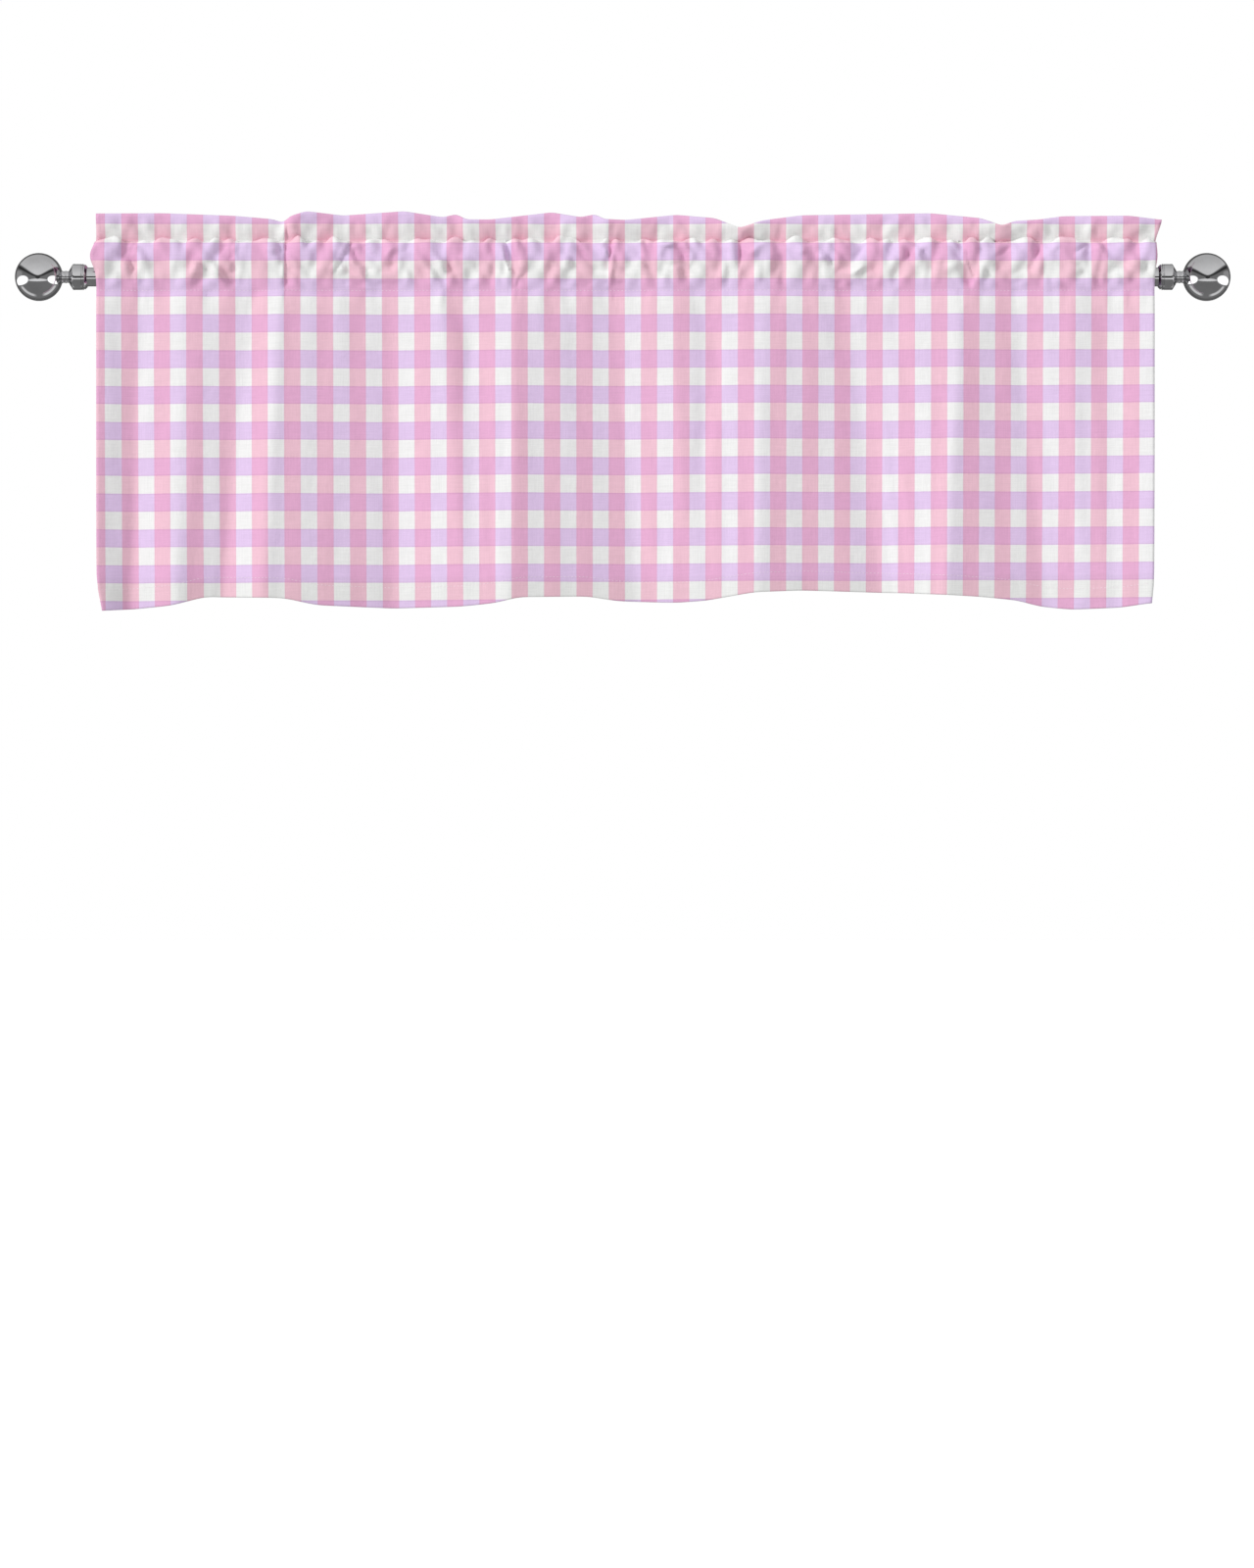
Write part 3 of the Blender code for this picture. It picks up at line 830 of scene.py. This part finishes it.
# The check's numbers are shares of one repeat
THREADS_PER_REPEAT = 84
HALF_STRIPE = 0.25
EDGE_SOFTNESS = 0.012
EDGE_WAVER = 0.012
WHITE = (1.0, 1.0, 1.0, 1.0)
BAND_LINE = (0.72, 0.56, 0.69, 1.0)
STRIPE_LINE = (0.80, 0.64, 0.72, 1.0)
# Painted shade: a faint green-grey that darkens the cloth where it lies doubled
DOUBLED_CLOTH_PAINTED_SHADE = (0.962, 0.970, 0.962, 1.0)


def edge_line(nodes, colour, from_middle, place, width, strength, tone):
    """A faint line of dye along both edges of the stripes or the bands."""
    away = nodes.maths("ABSOLUTE", nodes.maths("SUBTRACT", from_middle, place))
    return nodes.blend(nodes.ramp(away, 0.0, width, strength, 0.0), colour, tone, "MULTIPLY")


def checked_cloth(settings):
    """Light plain-woven cloth with a two-coloured check, read from the piece's UV map."""
    nodes = Nodes("checked_cloth")
    uv = nodes.add("ShaderNodeUVMap", uv_map="check")
    split = nodes.tree.nodes.new("ShaderNodeSeparateXYZ")
    nodes.feed(split.inputs[0], uv)
    across, down = split.outputs[0], split.outputs[1]
    waver = nodes.noise(uv, 3.0, 2.0)
    waver = nodes.maths("MULTIPLY_ADD", waver, EDGE_WAVER, -EDGE_WAVER / 2)
    from_stripe = nodes.maths("PINGPONG", nodes.maths("ADD", across, waver), 0.5)
    shifted = nodes.maths("ADD", nodes.maths("SUBTRACT", down, HALF_STRIPE), waver)
    from_band = nodes.maths("PINGPONG", shifted, 0.5)
    low, high = HALF_STRIPE - EDGE_SOFTNESS, HALF_STRIPE + EDGE_SOFTNESS
    stripe = nodes.ramp(from_stripe, low, high, 1.0, 0.0)
    band = nodes.ramp(from_band, low, high, 1.0, 0.0)
    plain = nodes.blend(stripe, rgba(settings.ground), rgba(settings.stripe))
    crossed = nodes.blend(stripe, rgba(settings.band), rgba(settings.crossing))
    colour = nodes.blend(band, plain, crossed)
    colour = edge_line(nodes, colour, from_band, 0.235, 0.024, 0.36, BAND_LINE)
    colour = edge_line(nodes, colour, from_stripe, 0.236, 0.018, 0.20, STRIPE_LINE)

    # Painted shade: where the cloth lies doubled, in the pocket, the heading and the hem's
    # turning, its colour is greyed a little. This stands in for the light that single cloth lets
    # through.
    below_pocket = nodes.ramp(down, 1.26, 1.40)
    single = nodes.maths("MULTIPLY", below_pocket, nodes.ramp(down, 9.32, 9.38, 1.0, 0.0))
    painted_layer_shade = nodes.blend(single, DOUBLED_CLOTH_PAINTED_SHADE, WHITE)
    colour = nodes.blend(1.0, colour, painted_layer_shade, "MULTIPLY")

    warp, weft = (
        nodes.noise(nodes.add("ShaderNodeMapping", {"Vector": uv, "Scale": scale}), 1.0, 3.0)
        for scale in ((42.0, 1.4, 1.0), (1.4, 42.0, 1.0))
    )
    slubs = nodes.maths("ADD", warp, weft)
    shade = nodes.ramp(slubs, 0.75, 1.25, 0.950, 1.02)
    colour = nodes.blend(1.0, colour, shade, "MULTIPLY")

    pitch = math.pi * THREADS_PER_REPEAT
    over = nodes.maths("SINE", nodes.maths("MULTIPLY", across, pitch))
    under = nodes.maths("SINE", nodes.maths("MULTIPLY", down, pitch))
    weave = nodes.maths("MULTIPLY", over, under)
    normal = nodes.bump(weave, 0.22, 0.00012)
    normal = nodes.bump(slubs, 0.25, 0.0003, normal)
    crumple = nodes.noise(uv, 2.6, 4.0, 0.55)
    normal = nodes.bump(crumple, 0.35, 0.0022, normal)
    return nodes.finish(
        Base_Color=colour,
        Roughness=0.82,
        Specular_IOR_Level=0.25,
        Sheen_Weight=0.12,
        Sheen_Roughness=0.45,
        Normal=normal,
    )


def sewing_thread():
    """Fine twisted thread, a little duller than the cloth."""
    nodes = Nodes("sewing_thread")
    place = nodes.add("ShaderNodeTexCoord", output=3)
    twist = nodes.noise(place, 1800.0, 2.0)
    shade = nodes.blend(twist, (0.84, 0.75, 0.80, 1.0), (0.93, 0.87, 0.90, 1.0))
    return nodes.finish(
        Base_Color=shade,
        Roughness=0.6,
        Sheen_Weight=0.2,
        Normal=nodes.bump(twist, 0.4, 0.0001),
    )


def polished_metal(settings):
    """Polished plating with faint wiping marks."""
    nodes = Nodes("polished_metal")
    place = nodes.add("ShaderNodeTexCoord", output=3)
    smears = nodes.noise(place, 55.0, 4.0, 0.6)
    fine = nodes.noise(place, 420.0, 2.0)
    roughness = nodes.ramp(smears, 0.35, 0.75, settings.roughness * 0.7, settings.roughness * 1.5)
    dark = tuple(0.9 * channel for channel in settings.plating)
    tone = nodes.blend(nodes.ramp(smears, 0.3, 0.7), rgba(settings.plating), rgba(dark))
    return nodes.finish(
        Base_Color=tone,
        Metallic=1.0,
        Roughness=roughness,
        Normal=nodes.bump(fine, 0.02, 0.0002),
    )


def pale_floor():
    nodes = Nodes("pale_floor")
    place = nodes.add("ShaderNodeTexCoord", output=3)
    grain = nodes.noise(place, 90.0, 3.0)
    tone = nodes.blend(grain, (0.90, 0.90, 0.90, 1.0), (0.93, 0.93, 0.93, 1.0))
    return nodes.finish(
        Base_Color=tone,
        Roughness=0.8,
        Specular_IOR_Level=0.2,
        Emission_Color=WHITE,
        Emission_Strength=0.3,
    )


def spun(name, profile, settings, finish, x_side, cad_node):
    """A turned piece: a profile of (radius, place along the rod) spun about the X axis."""
    bm = bmesh.new()
    verts = [bm.verts.new((x_side * along, 0.0, radius)) for radius, along in profile]
    edges = [bm.edges.new(pair) for pair in zip(verts, verts[1:])]
    closed = profile[0][0] > 0
    if closed:
        edges.append(bm.edges.new((verts[-1], verts[0])))
    bmesh.ops.spin(
        bm,
        geom=verts + edges,
        cent=(0, 0, 0),
        axis=(1, 0, 0),
        angle=2 * math.pi,
        steps=settings.segments,
        use_merge=True,
    )
    bmesh.ops.remove_doubles(bm, verts=bm.verts[:], dist=0.00001)
    bmesh.ops.recalc_face_normals(bm, faces=bm.faces[:])
    mesh = mesh_from(bm, name)
    mesh.shade_smooth()
    mesh.set_sharp_from_angle(angle=math.radians(38))
    piece = new_piece(name, mesh, finish)
    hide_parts(cad_node)


def spun_pair(kind, node, profile_of, settings):
    """The same turned piece at the left and right end of the rod."""
    finish = polished_metal(settings)
    for side, x_side in (("left", -1), ("right", 1)):
        spun(f"{kind}_{side}", profile_of(side), settings, finish, x_side, f"{node}_{side}")


def turned_size(low, high):
    """A turned node's outer and inner ends along the rod, and its radius."""
    inner, outer = sorted((abs(low.x), abs(high.x)))
    return outer, inner, (high.z - low.z) / 2


BALL_STEPS = 44
NECK = 0.0069
STUD = 0.0037
STUD_LENGTH = 0.0058
STUD_BORE = 0.0040
ROD_BORE = 0.0113
NOSE_WALL = 0.0070


def finial_profile(side):
    """Ball, beaded neck and stud, from the ball's outer pole to the stud's inner end."""
    outer, inner, radius = turned_size(*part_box(f"ball_finial_{side}"))
    centre = outer - radius
    neck_end = inner + STUD_LENGTH
    stop = math.pi - math.asin((NECK + 0.0006) / radius)
    points = []
    for step in range(BALL_STEPS + 1):
        angle = stop * step / BALL_STEPS
        points.append((radius * math.sin(angle), centre + radius * math.cos(angle)))
    ball_end = points[-1][1]
    run = ball_end - neck_end
    points += [
        (NECK, ball_end - 0.0008),
        (NECK - 0.0002, neck_end + run * 0.58),
        (NECK + 0.0002, neck_end + run * 0.51),
        (NECK + 0.0003, neck_end + run * 0.45),
        (NECK + 0.0002, neck_end + run * 0.39),
        (NECK - 0.0002, neck_end + run * 0.32),
        (NECK, neck_end + 0.0004),
        (NECK - 0.0003, neck_end),
        (STUD, neck_end),
        (STUD, inner),
        (0.0, inner),
    ]
    points[0] = (0.0, outer)
    return points


def collar_profile(side):
    """The collar's outside from its nose by the neck to the cloth, then its bore."""
    outer, inner, radius = turned_size(*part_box(f"collar_{side}"))
    wall = outer - NOSE_WALL
    return [
        (STUD_BORE, outer),
        (0.0078, outer),
        (0.0084, outer - 0.0003),
        (radius - 0.0009, outer - 0.0038),
        (radius - 0.0002, outer - 0.0044),
        (radius, outer - 0.0050),
        (radius - 0.0001, outer - 0.0074),
        (radius - 0.0001, inner + 0.0066),
        (radius - 0.0006, inner + 0.0062),
        (radius - 0.0006, inner + 0.0058),
        (radius, inner + 0.0055),
        (radius, inner + 0.0046),
        (radius - 0.0004, inner + 0.0043),
        (radius - 0.0015, inner + 0.0043),
        (radius - 0.0015, inner + 0.0031),
        (radius - 0.0006, inner + 0.0030),
        (radius - 0.0005, inner + 0.0026),
        (radius - 0.0026, inner + 0.0003),
        (radius - 0.0030, inner),
        (ROD_BORE, inner),
        (ROD_BORE, wall),
        (STUD_BORE, wall),
    ]


class VALANCE_OT_cloth(Operator):
    """Builds the cloth: panel, rod pocket, heading and hem in one sheet"""

    bl_idname = "valance.cloth"
    bl_label = "Cloth"

    def execute(self, context):
        settings = context.scene.valance_cloth
        points, uvs = cloth_points(settings.columns)
        mesh = sheet_mesh("checked_valance", points, uvs)
        piece = new_piece("checked_valance", mesh, checked_cloth(settings))
        body = piece.modifiers.new("thickness", "SOLIDIFY")
        body.thickness = settings.thickness
        body.offset = 0.0
        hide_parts("valance_cloth")
        return {"FINISHED"}


STITCH_LENGTH = 0.0032
STITCH_GAP = 0.0012
THREAD_RADIUS = 0.00022
THREAD_LIFT = 0.0003
SEAM_INSET = 0.0040
SEAM_STEP = 0.0010
HEM_SEAM = 1 - 0.022 / 0.352


def stitch_row(bm, points):
    """Short, slightly arched stitches along a line of points."""
    lengths = np.concatenate(([0.0], np.cumsum(np.linalg.norm(np.diff(points, axis=0), axis=1))))
    count = int(lengths[-1] / (STITCH_LENGTH + STITCH_GAP))
    for index in range(count):
        start = index * (STITCH_LENGTH + STITCH_GAP)
        ends = [
            Vector([np.interp(start + offset, lengths, points[:, axis]) for axis in range(3)])
            for offset in (0.0, STITCH_LENGTH)
        ]
        run = ends[1] - ends[0]
        turn = run.to_track_quat("X", "Z").to_matrix().to_4x4()
        size = Matrix.Diagonal((run.length / 2, THREAD_RADIUS, THREAD_RADIUS, 1.0))
        place = Matrix.Translation((ends[0] + ends[1]) / 2)
        bmesh.ops.create_icosphere(bm, subdivisions=1, radius=1.0, matrix=place @ turn @ size)


class VALANCE_OT_stitching(Operator):
    """Builds the rows of stitches along the heading, the pocket and the hem"""

    bl_idname = "valance.stitching"
    bl_label = "Stitching"

    def execute(self, context):
        seams = (
            ("panel", 0.0, THREAD_LIFT),
            ("heading front", 0.0, THREAD_LIFT),
            ("panel", HEM_SEAM, THREAD_LIFT),
            ("flap", 0.0, -THREAD_LIFT),
            ("heading back", 0.0, -THREAD_LIFT),
        )
        place = np.arange(SEAM_INSET, CLOTH_WIDTH - SEAM_INSET, SEAM_STEP)
        bm = bmesh.new()
        for part, share, lift in seams:
            stitch_row(bm, row_points(place, part, share, lift))
        mesh = mesh_from(bm, "stitching")
        mesh.shade_smooth()
        stitches = new_piece("stitching", mesh, sewing_thread())
        return {"FINISHED"}


class VALANCE_OT_rod(Operator):
    """Builds the round rod that the pocket hangs on"""

    bl_idname = "valance.rod"
    bl_label = "Rod"

    def execute(self, context):
        settings = context.scene.valance_metal
        low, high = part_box("curtain_rod")
        radius = (high.z - low.z) / 2
        chamfer = 0.0004
        profile = [
            (0.0, high.x),
            (radius - chamfer, high.x),
            (radius, high.x - chamfer),
            (radius, low.x + chamfer),
            (radius - chamfer, low.x),
            (0.0, low.x),
        ]
        spun("turned_rod", profile, settings, polished_metal(settings), 1, "curtain_rod")
        return {"FINISHED"}


class VALANCE_OT_collars(Operator):
    """Builds the turned collar over each end of the rod"""

    bl_idname = "valance.collars"
    bl_label = "Collars"

    def execute(self, context):
        spun_pair("turned_collar", "collar", collar_profile, context.scene.valance_metal)
        return {"FINISHED"}


class VALANCE_OT_finials(Operator):
    """Builds the ball finial and its neck at each end"""

    bl_idname = "valance.finials"
    bl_label = "Finials"

    def execute(self, context):
        spun_pair("turned_finial", "ball_finial", finial_profile, context.scene.valance_metal)
        return {"FINISHED"}


def distant_light(name, direction, strength, spread):
    """A large soft light so far off that it falls evenly over the whole object."""
    lamp = bpy.data.lights.new(name, "SUN")
    lamp.energy = strength
    lamp.angle = spread
    light = bpy.data.objects.new(name, lamp)
    bpy.context.scene.collection.objects.link(light)
    light.location = [-LIGHT_DISTANCE * part for part in direction]
    light.rotation_euler = Vector(direction).to_track_quat("-Z", "Y").to_euler()
    light.visible_glossy = False


class RoomNodes(Nodes):
    """The world's node tree, with the same short ways to add and join its nodes."""

    def __init__(self, name):
        world = bpy.data.worlds.new(name)
        bpy.context.scene.world = world
        world.use_nodes = True
        self.tree = world.node_tree
        self.tree.nodes.clear()

    def patch(self, tone, side, up, centre, size, patch_tone):
        """Paint a soft-edged oval of another tone."""
        across = self.maths("DIVIDE", self.maths("SUBTRACT", side, centre[0]), size[0])
        high = self.maths("DIVIDE", self.maths("SUBTRACT", up, centre[1]), size[1])
        reach = self.maths("ADD", self.maths("POWER", across, 2.0), self.maths("POWER", high, 2.0))
        return self.blend(self.ramp(reach, 0.60, 1.20, 1.0, 0.0), tone, grey(patch_tone))


def grey(tone):
    return (tone, tone, tone, 1.0)


# Lights and darks that the metal mirrors, as a ball seen from the front shows them:
# place from the ball's middle towards either side and up, half width and height, tone
ROOM_PATCHES = (
    ((0.90, 0.14), (0.26, 0.15), 0.44),
    ((0.67, -0.13), (0.27, 0.18), 2.60),
    ((0.00, -0.165), (0.42, 0.060), 1.10),
    ((0.00, -0.05), (0.10, 0.075), 0.06),
)


def mirrored_room(nodes, way):
    """The tones that the metal mirrors: a light ceiling, a dark edge, a dim lower half."""
    facing = nodes.add("ShaderNodeVectorMath", {0: way, 1: (0.0, 1.0, 0.0)}, operation="SUBTRACT")
    facing = nodes.add("ShaderNodeVectorMath", {0: facing}, operation="NORMALIZE")
    across, behind, up = (
        nodes.add("ShaderNodeSeparateXYZ", {0: facing}, part) for part in range(3)
    )
    side = nodes.maths("ABSOLUTE", across)
    bend = nodes.maths("POWER", nodes.maths("MULTIPLY_ADD", side, side, 0.04), 0.5)
    edge = nodes.maths("MULTIPLY_ADD", bend, 0.72, -0.144)
    over = nodes.maths("SUBTRACT", up, edge)
    ceiling = nodes.ramp(up, 0.05, 0.90, 0.98, 0.66)
    tone = nodes.blend(nodes.ramp(over, -0.02, 0.05), grey(0.25), ceiling)
    half_width = nodes.maths("MULTIPLY_ADD", side, 0.11, 0.045)
    away = nodes.maths("DIVIDE", nodes.maths("ABSOLUTE", over), half_width)
    band = nodes.ramp(away, 0.30, 1.2, 0.14, 1.0)
    tone = nodes.blend(1.0, tone, band, "MULTIPLY")
    for centre, size, patch_tone in ROOM_PATCHES:
        tone = nodes.patch(tone, side, up, centre, size, patch_tone)
    arc = nodes.maths("ABSOLUTE", nodes.maths("ADD", behind, 0.60))
    arc = nodes.ramp(arc, 0.03, 0.085, 1.0, 0.0)
    low = nodes.maths("MULTIPLY", nodes.ramp(up, -0.30, -0.42), nodes.ramp(side, 0.08, 0.30))
    tone = nodes.blend(nodes.maths("MULTIPLY", arc, low), tone, grey(0.95))
    return nodes.blend(nodes.ramp(behind, -0.46, -0.34), tone, grey(0.14))


def studio_world(strength):
    """A pale room: plain to the camera, with lights and darks where the metal mirrors it."""
    nodes = RoomNodes("pale_room")
    way = nodes.add("ShaderNodeTexCoord")
    up = nodes.add("ShaderNodeSeparateXYZ", {0: way}, 2)
    room = nodes.ramp(up, -0.5, 0.7, 0.87 * strength, 1.13 * strength)
    plain = nodes.add("ShaderNodeBackground", {"Color": WHITE, "Strength": room})
    mirrored = nodes.add("ShaderNodeBackground", {"Color": mirrored_room(nodes, way)})
    white = nodes.add("ShaderNodeBackground", {"Color": WHITE, "Strength": 1.0})
    rays = nodes.tree.nodes.new("ShaderNodeLightPath").outputs
    lit = nodes.add("ShaderNodeMixShader", {0: rays["Is Glossy Ray"], 1: plain, 2: mirrored})
    seen = nodes.add("ShaderNodeMixShader", {0: rays["Is Camera Ray"], 1: lit, 2: white})
    output = nodes.tree.nodes.new("ShaderNodeOutputWorld")
    nodes.feed(output.inputs["Surface"], seen)


LIGHT_DISTANCE = 3
KEY_WAY = (0.86, 0.66, -0.40)
BACK_WAY = (-0.45, -0.88, -0.05)
FLOOR_SIZE = 30.0
SENSOR_WIDTH = 36.0
CAMERA_SIDE = 0.005


class VALANCE_OT_stage(Operator):
    """Sets out the floor, the soft lights and the camera"""

    bl_idname = "valance.stage"
    bl_label = "Stage"

    def execute(self, context):
        settings = context.scene.valance_stage
        context.scene.view_settings.view_transform = "Standard"
        studio_world(settings.room_light)
        bm = bmesh.new()
        bmesh.ops.create_grid(bm, x_segments=1, y_segments=1, size=FLOOR_SIZE)
        bmesh.ops.translate(bm, verts=bm.verts[:], vec=(0.0, 0.0, settings.floor_height))
        mesh = mesh_from(bm, "floor")
        mesh.materials.append(pale_floor())
        floor = bpy.data.objects.new("floor", mesh)
        context.scene.collection.objects.link(floor)
        floor.visible_glossy = False
        floor.visible_diffuse = False

        distant_light("key_light", KEY_WAY, settings.key_strength, math.radians(20))
        distant_light("back_light", BACK_WAY, settings.back_strength, math.radians(40))

        lens = bpy.data.cameras.new("camera")
        lens.sensor_width = SENSOR_WIDTH
        lens.lens = SENSOR_WIDTH * settings.camera_distance / settings.frame_height
        lens.clip_end = 200.0
        camera = bpy.data.objects.new("camera", lens)
        context.scene.collection.objects.link(camera)
        camera.location = (CAMERA_SIDE, -settings.camera_distance, settings.camera_height)
        camera.rotation_euler = (math.pi / 2, 0.0, 0.0)
        context.scene.camera = camera
        return {"FINISHED"}


class VALANCE_PT_panel(Panel):
    """Lists the valance's pieces and their settings"""

    bl_idname = "VALANCE_PT_panel"
    bl_label = "Valance"
    bl_space_type = "VIEW_3D"
    bl_region_type = "UI"
    bl_category = "Valance"

    def draw(self, context):
        layout = self.layout
        for operator in OPERATORS:
            layout.operator(operator.bl_idname)
        for name in GROUPS:
            group = getattr(context.scene, name)
            box = layout.box()
            for prop in group.bl_rna.properties:
                if prop.identifier not in ("rna_type", "name"):
                    box.prop(group, prop.identifier)


GROUPS = {
    "valance_cloth": ClothSettings,
    "valance_metal": MetalSettings,
    "valance_stage": StageSettings,
}
OPERATORS = (
    VALANCE_OT_cloth,
    VALANCE_OT_stitching,
    VALANCE_OT_rod,
    VALANCE_OT_collars,
    VALANCE_OT_finials,
    VALANCE_OT_stage,
)
CLASSES = (*GROUPS.values(), *OPERATORS, VALANCE_PT_panel)


def register():
    for made in CLASSES:
        bpy.utils.register_class(made)
    for name, group in GROUPS.items():
        setattr(bpy.types.Scene, name, PointerProperty(type=group))


def unregister():
    for name in GROUPS:
        delattr(bpy.types.Scene, name)
    for made in reversed(CLASSES):
        bpy.utils.unregister_class(made)


def main():
    register()
    bpy.ops.valance.cloth()
    bpy.ops.valance.stitching()
    bpy.ops.valance.rod()
    bpy.ops.valance.collars()
    bpy.ops.valance.finials()
    bpy.ops.valance.stage()


if __name__ == "__main__":
    main()
